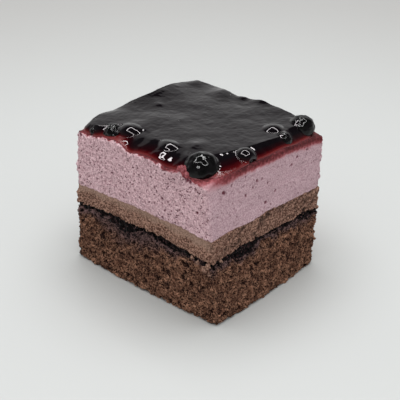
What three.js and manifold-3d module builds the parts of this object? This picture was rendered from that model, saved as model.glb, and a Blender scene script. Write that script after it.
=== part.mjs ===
// A square-cut slice of layered blueberry mousse cake, in millimetres, +Z up.
// From the table up it has a chocolate sponge, a seam of dark jam that has soaked into the sponge, a layer
// of chocolate cream, a thick layer of blueberry mousse and a jelly glaze that holds whole berries. The
// knife has left the four sides a little out of square, and the layers sag towards the cut corners.
// The origin is on the table under the middle of the slice. +X runs along the longer cut side.

import * as THREE from "three";
import { mergeVertices } from "three/addons/utils/BufferGeometryUtils.js";
import Module from "manifold-3d";

const wasm = await Module();
wasm.setup();

// ---- driving dimensions ----

const HALF_WIDTH = 30; // half of the longer cut side, along X
const HALF_DEPTH = 26.75; // half of the shorter cut side, along Y
const BROW_HEIGHT = 48; // where the mousse ends at the corners, under the glaze
const SPONGE_BULGE = 0.9; // how far the sponge bulges at the foot of each side, halfway along
const FOOT_ROUND = 0.7; // how far the worn bottom edge tucks in
const BROW_ROUND = 0.6; // and how far the top edge of the mousse does
const BROW_ROUND_HEIGHT = 2; // over this height
const GAP = 0.3; // clearance between two pieces that touch
const CORNER_ROUND = 0.6; // radius of the upright edges between two cut sides

// Each upright edge leans: how far its foot (on the table) and its brow (under the glaze) stand off the
// true corner. The edges follow each other anticlockwise, seen from above.
const UPRIGHT_EDGES = [
  { side: [-1, -1], foot: [-1.9, -2.0], brow: [-0.3, -0.3] },
  { side: [1, -1], foot: [2.6, 1.2], brow: [-0.6, -0.25] },
  { side: [1, 1], foot: [-0.3, -1.2], brow: [0.0, -0.15] },
  { side: [-1, 1], foot: [0.0, -0.25], brow: [0.6, 0.5] },
];

// Heights where one layer meets the next. Each surface has a height in the middle of the slice, a slope
// along X and Y, a droop at the four corners, and unevenness that rises and falls by `rise`.
const JAM_ROOF = { height: 22.7, slope: [0.015, -0.02], droop: 1.2, rise: 0.35, seed: 1 };
const CREAM_ROOF = { height: 29.6, slope: [0.035, -0.02], droop: 0.5, rise: 0.35, seed: 3 };
const MOUSSE_ROOF = { height: 50.1, slope: [0, 0], droop: 2.3, rise: 0.3, seed: 4 };
const GLAZE_ROOF = { height: 52.9, slope: [0, 0.005], droop: 2.6, rise: 0.2, seed: 12 };
const DROOP_POWER = 3; // how closely the droop keeps to the corners
const UNEVEN_SIZE = 9; // distance between two humps of a surface

// Finer unevenness: how far it rises and falls, the distance between two humps, and its random seed.
const JAM_DEPTH_RELIEF = { rise: 0.3, size: 5, seed: 2 };
const CRUMB_RELIEF = { rise: 0.5, size: 2.3, seed: 6 }; // on the sponge's cut sides
const TEAR_RELIEF = { rise: 0.2, size: 7, seed: 7 }; // on them as well
const JAM_RELIEF = { rise: 0.35, size: 3, seed: 8 };
const CREAM_RELIEF = { rise: 0.22, size: 4, seed: 9 };
const MOUSSE_RELIEF = { rise: 0.25, size: 5, seed: 10 };
const RIM_RELIEF = { rise: 0.35, size: 6, seed: 11 }; // how much the glaze's rim wanders
const RIPPLE_RELIEF = { rise: 0.2, size: 5, seed: 5 }; // on top of the glaze
const BERRY_RELIEF = { rise: 0.035, size: 0.9 }; // of a berry of radius 1

// How far a layer stays back from the true cut side.
const SPONGE_INSET = 0.3;
const JAM_INSET = 0.5;

// The jam is a thin seam with thicker lenses that come out at the cut sides.
const JAM_THICKNESS = 1.3;
const JAM_LENSES = [
  { x: -8, y: -27, swell: 1.8, reach: 6 },
  { x: 30, y: -11, swell: 2.5, reach: 5.2 },
  { x: 30, y: 21, swell: 0.9, reach: 4 },
  { x: 6, y: 27, swell: 1.6, reach: 6 },
  { x: -30, y: 9, swell: 1.8, reach: 5 },
];

// Where the knife has torn or pressed the top edge of the mousse, it stands up or dips, ever less over
// EDGE_REACH inwards.
const MOUSSE_EDGE = [
  { x: -23, y: -27, swell: -0.9, reach: 4.5 },
  { x: -10.8, y: -27, swell: 0.4, reach: 3 },
  { x: -4.8, y: -27, swell: -1.4, reach: 3 },
  { x: -0.5, y: -27, swell: -0.6, reach: 4 },
  { x: 11.2, y: -27, swell: -0.8, reach: 3.2 },
  { x: 18.2, y: -27, swell: 0.8, reach: 2 },
  { x: 30, y: -23.5, swell: 0.8, reach: 3.4 },
  { x: 30, y: -10, swell: 0.3, reach: 3 },
  { x: 30, y: 0, swell: -0.5, reach: 6 },
  { x: 30, y: 16, swell: -0.75, reach: 6 },
  { x: -30, y: -19, swell: -1.4, reach: 4.5 },
  { x: -14, y: 27, swell: 0.8, reach: 4 },
];
const EDGE_REACH = 7;
const HOLLOW_FILL = 0.45; // how much of such a dip the glaze fills

const GLAZE_RIM = 0.6; // thickness of the glaze at its very edge

// The glaze slopes down to its rim over a shoulder, which is wide where it ran over the edge.
const SHOULDER_WIDTH = 2;
const SHOULDER_SWELLS = [
  { x: -14, y: -27, swell: 4.8, reach: 4.5 },
  { x: -4, y: -27, swell: 4.8, reach: 5 },
  { x: 3, y: -27, swell: 3.5, reach: 4 },
  { x: 11, y: -27, swell: 4.8, reach: 6 },
  { x: 30, y: -19, swell: 5.5, reach: 5 },
  { x: 30, y: -9, swell: 3.3, reach: 4 },
  { x: 30, y: -1, swell: 2.2, reach: 5 },
  { x: 30, y: 14.5, swell: 1.6, reach: 4 },
  { x: 30, y: 27, swell: 1.0, reach: 6 },
  { x: -6, y: 27, swell: 2.0, reach: 8 },
  { x: -30, y: 3, swell: 1.2, reach: 8 },
];

// Where the shoulder ends in a step up to the level, and how wide the step is.
const STEP_SWELLS = [
  { x: -13, y: -27, swell: 0.8, reach: 6 },
  { x: 7, y: -27, swell: 0.3, reach: 2.6 },
];
const STEP_WIDTH = 1.5;

// Where the level itself stands up or sinks.
const LEVEL_SWELLS = [
  { x: -29, y: 9, swell: 1.3, reach: 9 },
  { x: 25, y: 21, swell: 0.5, reach: 6 },
  { x: -12, y: -18, swell: 0.4, reach: 4.5 },
  { x: -30, y: -13, swell: -1.0, reach: 4 },
  { x: -30, y: 4, swell: 0.5, reach: 6 },
  { x: -30, y: 20, swell: -0.7, reach: 4 },
  { x: -6, y: 27, swell: -0.7, reach: 6 },
  { x: 5, y: 26, swell: 0.9, reach: 2.5 },
  { x: 16, y: 26, swell: 0.5, reach: 6 },
];

const SIDE_BLEND = 1.2; // how softly one side's swells give way to the next side's at a corner

// The rim stays back from the cut side, more so at the front and right corners.
const GLAZE_INSET = 0.4;
const INSET_SWELLS = [
  { x: 30, y: -27, swell: 5.5, reach: 6 },
  { x: 30, y: 27, swell: 2.2, reach: 4 },
  { x: -30, y: 27, swell: 1.2, reach: 4 },
  { x: -30, y: -20, swell: -0.4, reach: 5 },
];

// Berries that break out of the glaze near its edge: centre and radius.
const BERRIES = [
  { name: "berry_front_corner", x: 21.2, y: -20.8, z: 50.0, radius: 5.7 },
  { name: "berry_left_tiny", x: -23.4, y: -25.2, z: 49.4, radius: 1.5 },
  { name: "berry_left_small", x: -16.2, y: -22.9, z: 50.1, radius: 3.4 },
  { name: "berry_left", x: -10.1, y: -20.1, z: 51.0, radius: 2.6 },
  { name: "berry_left_middle", x: 6.3, y: -20.2, z: 50.8, radius: 2.8 },
  { name: "berry_right_front", x: 26.0, y: -7.0, z: 50.3, radius: 2.8 },
  { name: "berry_right_small", x: 21.4, y: 12.2, z: 51.8, radius: 2.0 },
  { name: "berry_right_middle", x: 26.4, y: 10.5, z: 50.6, radius: 3.0 },
  { name: "berry_right_corner", x: 24.8, y: 21.6, z: 51.1, radius: 4.4 },
  { name: "berry_back_right", x: 6.2, y: 24.0, z: 50.9, radius: 2.7 },
  { name: "berry_back_middle", x: -9.6, y: 22.0, z: 50.6, radius: 3.1 },
  { name: "berry_back_corner", x: -23.9, y: 22.3, z: 50.2, radius: 3.3 },
  { name: "berry_back_left", x: -26.4, y: 12.4, z: 50.4, radius: 3.0 },
  { name: "berry_side_left", x: -25.8, y: -4.4, z: 50.3, radius: 3.1 },
];
const BERRY_FLATNESS = 0.9; // height of a berry against its width
const ROUND_BERRY = 3.5; // a berry this large or larger is rounder, with more faces
const MENISCUS = 0.1; // how high the glaze climbs a berry, as a share of the berry's radius
const MENISCUS_REACH = 1.4; // how far out it does so, in berry radii

// Berries wholly under the glaze only raise its surface.
const SUNK_BERRIES = [
  { x: -18.0, y: -1.2, swell: 0.6, reach: 2.0 },
  { x: -2.0, y: 23.0, swell: 0.6, reach: 2.0 },
  { x: -29.0, y: 18, swell: 0.8, reach: 3.0 },
  { x: 13.0, y: -14.5, swell: 0.5, reach: 3.0 },
];

// ---- mesh spacing ----

const WALL_STEP = 2.6; // along a cut side
const WALL_ROWS = { sponge: 9, jam: 2, cream: 3, mousse: 6 }; // bands up the cut sides of each layer
// On the faces inside the slice: how far out each loop lies, and the distance between its points.
const HIDDEN_LOOPS = [
  { scale: 0.35, step: 9 },
  { scale: 0.7, step: 7 },
  { scale: 0.93, step: 2.8 },
];
const UNDERSIDE_LOOP = { scale: 0.75, step: 30 };
const GLAZE_STEP = 2.9; // on top of the glaze
const SHOULDER_LOOPS = [0, 0.8, 2, 3.4, 4.8, 6.2]; // how far in from the rim the shoulder's loops lie

// ---- helpers ----

// A repeatable random value between -1 and 1 for each point of a whole-number lattice.
function latticeValue(ix, iy, iz, seed) {
  const wide = Math.sin(ix * 127.1 + iy * 311.7 + iz * 74.7 + seed * 53.3) * 43758.5453;
  return 2 * (wide - Math.floor(wide)) - 1;
}

// Smooth unevenness between -1 and 1 whose bumps are `size` apart.
function unevenness(x, y, z, size, seed) {
  const at = [x / size, y / size, z / size];
  const cell = at.map(Math.floor);
  const blend = at.map((value, i) => THREE.MathUtils.smoothstep(value - cell[i], 0, 1));
  let sum = 0;
  for (let corner = 0; corner < 8; corner++) {
    const step = [corner & 1, (corner >> 1) & 1, corner >> 2];
    const weight = step.reduce((w, s, i) => w * (s ? blend[i] : 1 - blend[i]), 1);
    sum += weight * latticeValue(cell[0] + step[0], cell[1] + step[1], cell[2] + step[2], seed);
  }
  return sum;
}

// Fine unevenness of one kind at a point.
function relief({ rise, size, seed }, x, y, z) {
  return rise * unevenness(x, y, z, size, seed);
}

// The sum of round swells at one place: each rises by `swell` in its middle and fades over `reach`.
function swells(list, x, y) {
  const fade = (one) => Math.exp(-((x - one.x) ** 2 + (y - one.y) ** 2) / one.reach ** 2);
  return list.reduce((sum, one) => sum + one.swell * fade(one), 0);
}

// The same for swells that belong to the slice's sides: each side's are read at its nearest point.
function besideSwells(list, x, y) {
  const sides = [
    { x: -HALF_WIDTH, y, away: x + HALF_WIDTH },
    { x: HALF_WIDTH, y, away: HALF_WIDTH - x },
    { x, y: -HALF_DEPTH, away: y + HALF_DEPTH },
    { x, y: HALF_DEPTH, away: HALF_DEPTH - y },
  ];
  const weights = sides.map(({ away }) => Math.exp(-Math.max(away, 0) / SIDE_BLEND));
  const total = weights.reduce((sum, weight) => sum + weight, 0);
  return sides.reduce((sum, side, i) => sum + weights[i] * swells(list, side.x, side.y), 0) / total;
}

// The height of a layer's surface: level, slope, droop at the corners and unevenness.
function surfaceHeight({ height, slope, droop, rise, seed }, x, y) {
  const cornerness = Math.abs((x * y) / (HALF_WIDTH * HALF_DEPTH)) ** DROOP_POWER;
  const level = height + slope[0] * x + slope[1] * y;
  return level - droop * cornerness + relief({ rise, size: UNEVEN_SIZE, seed }, x, y, 0);
}

// ---- the cut sides ----

// A point of the slice's outline. `turn` counts the sides, 0 to 4, anticlockwise from the upright edge at
// -X, -Y. `proud` moves the point out from the cut side, and `scale` draws it in towards the middle.
function outlinePoint(turn, z, proud = 0, scale = 1) {
  const side = Math.floor(turn) % 4;
  const along = turn - Math.floor(turn);
  const rise = z / BROW_HEIGHT;
  const [from, to] = [UPRIGHT_EDGES[side], UPRIGHT_EDGES[(side + 1) % 4]].map((edge) =>
    [0, 1].map((axis) => {
      const half = axis === 0 ? HALF_WIDTH : HALF_DEPTH;
      return edge.side[axis] * half + edge.foot[axis] * (1 - rise) + edge.brow[axis] * rise;
    }),
  );
  const rounding = along === 0 ? CORNER_ROUND * (1 - Math.SQRT1_2) * scale : 0;
  const grow = (half) => scale * (1 + (proud - rounding) / half);
  return [
    (from[0] + (to[0] - from[0]) * along) * grow(HALF_WIDTH),
    (from[1] + (to[1] - from[1]) * along) * grow(HALF_DEPTH),
  ];
}

// The turns at which an outline of the given scale is sampled, about `step` apart. Each corner has a point
// of its own, and in a fine outline one more on each side where its rounding starts.
function turnsOf(step, scale = 1) {
  const turns = [];
  for (let side = 0; side < 4; side++) {
    const length = 2 * (side % 2 ? HALF_DEPTH : HALF_WIDTH) * scale;
    const count = Math.max(1, Math.round(length / step));
    const rounded = CORNER_ROUND < step && step < 3 * CORNER_ROUND;
    for (let i = 0; i < count; i++) {
      turns.push(side + i / count);
      if (rounded && i === 0) turns.push(side + CORNER_ROUND / length);
      if (rounded && i === count - 1) turns.push(side + 1 - CORNER_ROUND / length);
    }
  }
  return turns;
}

// A closed loop of points: each turn's outline point, at the height given by heightAt(x, y).
function loop(turns, scale, nominalZ, heightAt, proudAt = () => 0) {
  return turns.map((turn) => {
    const [bareX, bareY] = outlinePoint(turn, nominalZ, 0, scale);
    const proud = proudAt(bareX, bareY, heightAt(bareX, bareY), turn);
    const [x, y] = outlinePoint(turn, nominalZ, proud, scale);
    return { turn, at: new THREE.Vector3(x, y, heightAt(x, y)) };
  });
}

// The triangles between one loop and the next. They need not have the same number of points: the loop whose
// next point comes first is the one that steps on, or where both come together the finer one. So two faces
// made of the same loops, one from the middle out and one from the edge in, have the same triangles.
function stitch(lower, upper, triangles) {
  const turnAt = (points, i) => (i < points.length ? points[i].turn : 4 + points[i - points.length].turn);
  const pointAt = (points, i) => points[i % points.length].at;
  let [a, b] = [0, 0];
  while (a < lower.length || b < upper.length) {
    const lead = turnAt(upper, Math.min(b + 1, upper.length)) - turnAt(lower, Math.min(a + 1, lower.length));
    const lowerFirst = Math.abs(lead) > 1e-9 ? lead > 0 : lower.length >= upper.length;
    if (b >= upper.length || (a < lower.length && lowerFirst)) {
      triangles.push(pointAt(lower, a), pointAt(lower, a + 1), pointAt(upper, b));
      a += 1;
    } else {
      triangles.push(pointAt(lower, a), pointAt(upper, b + 1), pointAt(upper, b));
      b += 1;
    }
  }
}

// One closed geometry from loops that run from the middle of the underside, out, up and in to the middle
// of the top.
function solidOfLoops(loops) {
  const triangles = [];
  const middle = (points) => {
    const centre = new THREE.Vector3();
    points.forEach((p) => centre.add(p.at));
    return centre.divideScalar(points.length);
  };
  const [first, last] = [loops[0], loops[loops.length - 1]];
  const [under, over] = [middle(first), middle(last)];
  first.forEach((p, i) => triangles.push(under, first[(i + 1) % first.length].at, p.at));
  for (let i = 0; i + 1 < loops.length; i++) stitch(loops[i], loops[i + 1], triangles);
  last.forEach((p, i) => triangles.push(p.at, last[(i + 1) % last.length].at, over));
  return new THREE.BufferGeometry().setFromPoints(triangles);
}

// The loops over one hidden face, from the middle out, or from the edge in for a top.
function faceLoops(nominalZ, heightAt, inwards, proudAt) {
  const loops = HIDDEN_LOOPS.map(({ scale, step }) =>
    loop(turnsOf(step, scale), scale, nominalZ, heightAt, proudAt),
  );
  return inwards ? loops.reverse() : loops;
}

// One layer of the slice, between two surfaces. `rows` is the number of bands up its cut sides, and
// proudAt(x, y, z) is the relief of those sides.
function layerGeometry({ floorAt, roofAt, nominal, rows, proudAt }) {
  const turns = turnsOf(WALL_STEP);
  const wall = Array.from({ length: rows + 1 }, (_, row) => {
    const share = row / rows;
    const heightAt = (x, y) => THREE.MathUtils.lerp(floorAt(x, y), roofAt(x, y), share);
    return loop(turns, 1, THREE.MathUtils.lerp(nominal[0], nominal[1], share), heightAt, proudAt);
  });
  return solidOfLoops([...faceLoops(nominal[0], floorAt, false), ...wall, ...faceLoops(nominal[1], roofAt, true)]);
}

// ---- solids ----

// A closed geometry as a manifold-3d solid, for cutting, and back.
function toSolid(geometry) {
  const bare = new THREE.BufferGeometry().setAttribute("position", geometry.getAttribute("position"));
  if (geometry.index) bare.setIndex(geometry.index);
  const merged = mergeVertices(bare, 1e-4);
  return new wasm.Manifold(
    new wasm.Mesh({
      numProp: 3,
      vertProperties: merged.attributes.position.array,
      triVerts: new Uint32Array(merged.index.array),
    }),
  );
}

function toGeometry(solid) {
  const { vertProperties, triVerts } = solid.getMesh();
  return new THREE.BufferGeometry()
    .setAttribute("position", new THREE.BufferAttribute(vertProperties, 3))
    .setIndex(new THREE.BufferAttribute(triVerts, 1));
}

// A berry: a sphere flattened a little, uneven, and grown on all sides by `clearance`.
function berryGeometry({ x, y, z, radius }, seed, clearance = 0) {
  const detail = radius < ROUND_BERRY ? 1 : 2;
  const geometry = new THREE.IcosahedronGeometry(1, detail);
  const position = geometry.getAttribute("position");
  const point = new THREE.Vector3();
  for (let i = 0; i < position.count; i++) {
    point.fromBufferAttribute(position, i).normalize();
    const reach = radius * (1 + relief({ ...BERRY_RELIEF, seed }, point.x, point.y, point.z)) + clearance;
    point.set(x + point.x * reach, y + point.y * reach, z + point.z * (reach - radius * (1 - BERRY_FLATNESS)));
    position.setXYZ(i, point.x, point.y, point.z);
  }
  return geometry;
}

// A geometry with a bed cut out of it for every berry.
function withBerryBeds(geometry) {
  const beds = BERRIES.map((berry, i) => toSolid(berryGeometry(berry, i, GAP)));
  return toGeometry(beds.reduce((solid, bed) => solid.subtract(bed), toSolid(geometry)));
}

// ---- the surfaces between the layers ----

const jamRoof = (x, y) => surfaceHeight(JAM_ROOF, x, y);
const jamDepth = (x, y) => JAM_THICKNESS + swells(JAM_LENSES, x, y) + relief(JAM_DEPTH_RELIEF, x, y, 0);
const jamFloor = (x, y) => jamRoof(x, y) - jamDepth(x, y);
const creamRoof = (x, y) => surfaceHeight(CREAM_ROOF, x, y);
function mousseRoof(x, y) {
  const inwards = Math.min(HALF_WIDTH - Math.abs(x), HALF_DEPTH - Math.abs(y));
  const fade = 1 - THREE.MathUtils.smoothstep(inwards, 0, EDGE_REACH);
  return surfaceHeight(MOUSSE_ROOF, x, y) + besideSwells(MOUSSE_EDGE, x, y) * fade;
}

// The level of the glaze rises over sunk berries and round the ones that show.
function glazeLevel(x, y) {
  const climbing = BERRIES.map(({ x, y, radius }) => ({
    x,
    y,
    swell: radius * MENISCUS,
    reach: radius * MENISCUS_REACH,
  }));
  const lift = swells(LEVEL_SWELLS, x, y) + swells(SUNK_BERRIES, x, y) + swells(climbing, x, y);
  return surfaceHeight(GLAZE_ROOF, x, y) + relief(RIPPLE_RELIEF, x, y, 0) + lift;
}

// The top of the glaze slopes over its shoulder, from the rim that lies on the mousse up to the level.
function glazeRoof(x, y, scale) {
  const { lerp, smoothstep } = THREE.MathUtils;
  const fromEdge = (1 - scale) * HALF_DEPTH;
  const width = SHOULDER_WIDTH + besideSwells(SHOULDER_SWELLS, x, y);
  const fill = HOLLOW_FILL * besideSwells(MOUSSE_EDGE, x, y) * smoothstep(fromEdge, 0, 2);
  const low = mousseRoof(x, y) + GAP + GLAZE_RIM - fill;
  const step = besideSwells(STEP_SWELLS, x, y);
  const slope = lerp(low, glazeLevel(x, y) - step, Math.min(fromEdge / width, 1));
  return slope + step * smoothstep(fromEdge, width - STEP_WIDTH, width);
}

// ---- the pieces ----

// Chocolate sponge: an open crumb, so its cut sides are rough. It stands flat on the table.
function spongeGeometry() {
  const roofAt = (x, y) => jamFloor(x, y) - GAP;
  const height = JAM_ROOF.height - JAM_THICKNESS;
  const rows = WALL_ROWS.sponge;
  const crumb = (x, y, z) => relief(CRUMB_RELIEF, x, y, z) + relief(TEAR_RELIEF, x, y, z) - SPONGE_INSET;
  const bulge = (turn, z) => SPONGE_BULGE * Math.sin(Math.PI * (turn % 1)) * (1 - z / height);
  const turns = turnsOf(WALL_STEP);
  const wall = Array.from({ length: rows + 1 }, (_, row) => {
    const share = row / rows;
    const heightAt = (x, y) => roofAt(x, y) * share;
    const tuck = row === 0 ? FOOT_ROUND : 0;
    const proudAt = (x, y, z, turn) => crumb(x, y, z) + bulge(turn, z) - tuck;
    return loop(turns, 1, height * share, heightAt, proudAt);
  });
  const { scale, step } = UNDERSIDE_LOOP;
  const underside = loop(turnsOf(step, scale), scale, 0, () => 0);
  return solidOfLoops([underside, ...wall, ...faceLoops(height, roofAt, true)]);
}

// The seam of jam, a little behind the cut sides of the layers round it.
function jamGeometry() {
  return layerGeometry({
    floorAt: jamFloor,
    roofAt: (x, y) => jamRoof(x, y) - GAP,
    nominal: [JAM_ROOF.height - JAM_THICKNESS, JAM_ROOF.height],
    rows: WALL_ROWS.jam,
    proudAt: (x, y, z) => relief(JAM_RELIEF, x, y, z) - JAM_INSET,
  });
}

// Chocolate cream.
function creamGeometry() {
  return layerGeometry({
    floorAt: jamRoof,
    roofAt: (x, y) => creamRoof(x, y) - GAP,
    nominal: [JAM_ROOF.height, CREAM_ROOF.height],
    rows: WALL_ROWS.cream,
    proudAt: (x, y, z) => relief(CREAM_RELIEF, x, y, z),
  });
}

// Blueberry mousse, the thickest layer, with beds for the berries that sit on its edge.
function mousseGeometry() {
  const { smoothstep } = THREE.MathUtils;
  const wear = (z) => BROW_ROUND * smoothstep(z, BROW_HEIGHT - BROW_ROUND_HEIGHT, BROW_HEIGHT);
  const geometry = layerGeometry({
    floorAt: creamRoof,
    roofAt: mousseRoof,
    nominal: [CREAM_ROOF.height, BROW_HEIGHT],
    rows: WALL_ROWS.mousse,
    proudAt: (x, y, z) => relief(MOUSSE_RELIEF, x, y, z) - wear(z),
  });
  return withBerryBeds(geometry);
}

// The jelly glaze: thick in the middle, rounded at its edge, raised over the berries.
function glazeGeometry() {
  const floorAt = (x, y) => mousseRoof(x, y) + GAP;
  const turns = turnsOf(GLAZE_STEP);
  const waver = (x, y) => relief(RIM_RELIEF, x, y, 0) - GLAZE_INSET - swells(INSET_SWELLS, x, y);
  const rimFloor = loop(turns, 1, BROW_HEIGHT, floorAt, waver);
  const loops = [...faceLoops(BROW_HEIGHT, floorAt, false, waver), rimFloor];
  const depths = [...SHOULDER_LOOPS];
  for (let depth = depths.at(-1) + GLAZE_STEP; depth < HALF_DEPTH; depth += GLAZE_STEP) depths.push(depth);
  for (const depth of depths) {
    const scale = 1 - depth / HALF_DEPTH;
    const heightAt = (x, y) => glazeRoof(x, y, scale);
    loops.push(loop(turnsOf(GLAZE_STEP, scale), scale, BROW_HEIGHT, heightAt, waver));
  }
  return withBerryBeds(solidOfLoops(loops));
}

// ---- finishes ----

const spongeFinish = new THREE.MeshStandardMaterial({ color: 0x4e362c, roughness: 0.95, metalness: 0 });
const jamFinish = new THREE.MeshStandardMaterial({ color: 0x1a0f16, roughness: 0.45, metalness: 0 });
const creamFinish = new THREE.MeshStandardMaterial({ color: 0x7a6155, roughness: 0.8, metalness: 0 });
const mousseFinish = new THREE.MeshStandardMaterial({ color: 0xb09299, roughness: 0.75, metalness: 0 });
const glazeFinish = new THREE.MeshStandardMaterial({ color: 0x24060a, roughness: 0.08, metalness: 0 });
const berryFinish = new THREE.MeshStandardMaterial({ color: 0x0a080d, roughness: 0.12, metalness: 0 });

// ---- assembly ----

function piece(name, geometry, material) {
  const mesh = new THREE.Mesh(geometry, material);
  mesh.name = name;
  mesh.geometry.computeVertexNormals();
  return mesh;
}

const cake = new THREE.Group();
cake.name = "blueberry_cake_slice";
cake.add(piece("sponge", spongeGeometry(), spongeFinish));
cake.add(piece("jam_seam", jamGeometry(), jamFinish));
cake.add(piece("chocolate_cream", creamGeometry(), creamFinish));
cake.add(piece("blueberry_mousse", mousseGeometry(), mousseFinish));
cake.add(piece("jelly_glaze", glazeGeometry(), glazeFinish));
BERRIES.forEach((berry, i) => cake.add(piece(berry.name, berryGeometry(berry, i), berryFinish)));

// The middle of the slice's outline goes over the origin.
const box = new THREE.Box3().setFromObject(cake);
const centre = box.getCenter(new THREE.Vector3());
cake.position.set(-centre.x, -centre.y, -box.min.z);

export default cake;
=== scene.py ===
"""A square-cut slice of layered blueberry mousse cake, dressed for a close studio view.

Sizes are in millimetres in the drawing's own axes, +Z up, until place() turns them into metres in the frame.
"""

import itertools
import math

import bpy
import numpy as np
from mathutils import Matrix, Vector


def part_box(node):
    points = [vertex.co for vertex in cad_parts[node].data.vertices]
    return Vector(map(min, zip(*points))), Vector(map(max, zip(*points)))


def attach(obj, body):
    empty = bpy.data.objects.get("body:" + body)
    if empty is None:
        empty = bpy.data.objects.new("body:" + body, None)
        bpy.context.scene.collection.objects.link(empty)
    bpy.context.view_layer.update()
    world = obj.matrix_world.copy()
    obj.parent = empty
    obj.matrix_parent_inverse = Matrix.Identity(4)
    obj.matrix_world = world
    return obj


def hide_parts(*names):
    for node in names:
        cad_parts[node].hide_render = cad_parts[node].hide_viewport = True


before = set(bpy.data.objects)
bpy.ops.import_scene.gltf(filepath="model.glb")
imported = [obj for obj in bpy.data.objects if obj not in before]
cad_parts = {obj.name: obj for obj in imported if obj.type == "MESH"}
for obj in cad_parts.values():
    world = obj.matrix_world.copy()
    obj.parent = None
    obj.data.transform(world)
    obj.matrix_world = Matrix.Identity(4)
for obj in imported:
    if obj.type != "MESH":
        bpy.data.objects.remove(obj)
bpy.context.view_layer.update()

# ---- the slice ----

HALF = np.array([30.0, 26.75])  # half of each cut side
BROW = 48.0  # where the mousse ends at the corners
LEFT_CORNER, FRONT_CORNER, RIGHT_CORNER = (-30, -27), (30, -27), (30, 27)

# The upright edges lean: how far foot and brow stand off the true corner, anticlockwise from -X -Y.
EDGE_SIDE = np.array([[-1, -1], [1, -1], [1, 1], [-1, 1]])
EDGE_FOOT = np.array([[-1.9, -2.0], [2.6, 1.2], [-0.3, -1.2], [0.0, -0.25]])
EDGE_BROW = np.array([[-0.3, -0.3], [-0.6, -0.25], [0.0, -0.15], [0.6, 0.5]])
CORNER_ROUND = 0.6
SPONGE_BULGE = 0.9

# Holes that show in the crumb and pores that show in the mousse: x, y, z, radius.
SPONGE_HOLES = [
    (-19.4, -27, 12.4, 1.1), (-13.6, -27, 4.1, 0.6), (-6.0, -27, 10.8, 0.7), (-4.2, -27, 10.3, 0.6),
    (18.4, -27, 18.0, 0.9), (20.2, -27, 17.6, 0.8), (18.2, -27, 12.6, 0.8), (21.4, -27, 12.0, 0.6),
    (7.2, -27, 7.3, 0.7), (13.2, -27, 18.6, 0.6), (2.2, -27, 13.4, 0.8), (30, -8.5, 13.0, 0.7),
    (30, 4.5, 16.5, 0.6), (30, 13.0, 12.5, 0.7), (30, -17.0, 8.5, 0.6),
]
MOUSSE_PORES = [
    (30, 3.5, 36.5, 0.45), (30, -1.2, 34.2, 0.5), (30, -10.9, 40.5, 0.4), (30, -20.0, 44.5, 0.6),
    (30, -16.9, 45.9, 0.4), (30, 13.7, 44.7, 0.5), (30, 10.9, 43.1, 0.4), (30, 18.4, 45.9, 0.4),
    (30, -5.7, 43.5, 0.4), (30, -3.5, 43.4, 0.35), (30, -0.6, 40.9, 0.35), (10.0, -27, 31.5, 0.5),
    (10.2, -27, 38.1, 0.5), (25.0, -27, 38.7, 0.5), (-11.9, -27, 29.3, 0.4), (-28.4, -27, 47.0, 0.7),
    (20.2, -27, 48.9, 0.5), (21.3, -27, 48.5, 0.6), (22.4, -27, 48.0, 0.5),
]
# Loose lumps: x, y, z, radius.
CREAM_FLAKES = [
    (22.8, -26.7, 22.0, 0.6), (25.4, -26.8, 21.3, 0.6), (28.4, -26.9, 20.6, 0.8),
    (29.6, -26.7, 21.6, 0.7), (31.0, -22.6, 22.5, 0.6), (29.9, -26.4, 18.8, 0.5),
]
MOUSSE_LUMPS = [(19.0, -25.7, 50.2, 1.7), (20.6, -25.9, 49.6, 1.2), (17.2, -26.0, 50.4, 1.1)]

# Surfaces between the layers: height, slope along X and along Y, droop at the corners, rise of the
# unevenness, and its seed.
JAM_ROOF = (22.7, 0.015, -0.02, 1.2, 0.35, 1)
CREAM_ROOF = (29.6, 0.035, -0.02, 0.5, 0.35, 3)
MOUSSE_ROOF = (50.1, 0.0, 0.0, 2.3, 0.3, 4)
GLAZE_ROOF = (52.9, 0.0, 0.005, 2.6, 0.2, 12)
UNEVEN_SIZE = 9.0

# Round swells: x, y, how far one rises in its middle, and how far it reaches.
JAM_LUMPS = [
    (-18.6, -27, 1.0, 2.2), (-5.0, -27, 1.3, 3.4), (9.0, -27, 1.1, 2.8), (15.5, -27, 1.4, 3.2),
    (30, -14.5, 1.0, 3.0), (30, -21, 0.7, 1.8), (30, 2, 0.5, 1.5), (30, 8.5, 0.5, 2),
]
JAM_LENSES = [
    (-8, -27, 1.8, 6), (30, -11, 2.5, 5.2), (30, 21, 0.9, 4), (6, 27, 1.6, 6), (-30, 9, 1.8, 5),
]
MOUSSE_EDGE = [
    (-23, -27, -0.9, 4.5), (-10.8, -27, 0.4, 3), (-4.8, -27, -1.4, 3.0), (-0.5, -27, -0.6, 4),
    (11.2, -27, -0.8, 3.2), (18.2, -27, 0.8, 2), (30, -23.5, 0.8, 3.4), (30, -10, 0.3, 3),
    (30, 0, -0.5, 6), (30, 16, -0.75, 6), (-30, -19, -1.4, 4.5), (-14, 27, 0.8, 4),
]
EDGE_REACH = 7.0
HOLLOW_FILL = 0.65  # how much of a hollow in the mousse's edge the jelly fills
RIM_SWELLS = [
    (-6, -27, -0.35, 10), (30, 3, -0.3, 10), (-28, -27, -0.2, 4), (8, -27, 0.3, 4), (30, -27, -0.4, 5),
]
SHOULDER_SWELLS = [
    (-22, -27, -1.0, 2.5), (-14, -27, 5.2, 5), (-6, -27, 6.2, 5.5), (3, -27, 3.6, 5), (11, -27, 5.4, 6),
    (30, -18, 4.8, 13), (30, -1, 0.6, 6), (30, 14.5, 1.6, 4), (30, 27, 1.0, 6), (-6, 27, 2.0, 8),
    (-30, 3, 1.2, 8),
]
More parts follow.
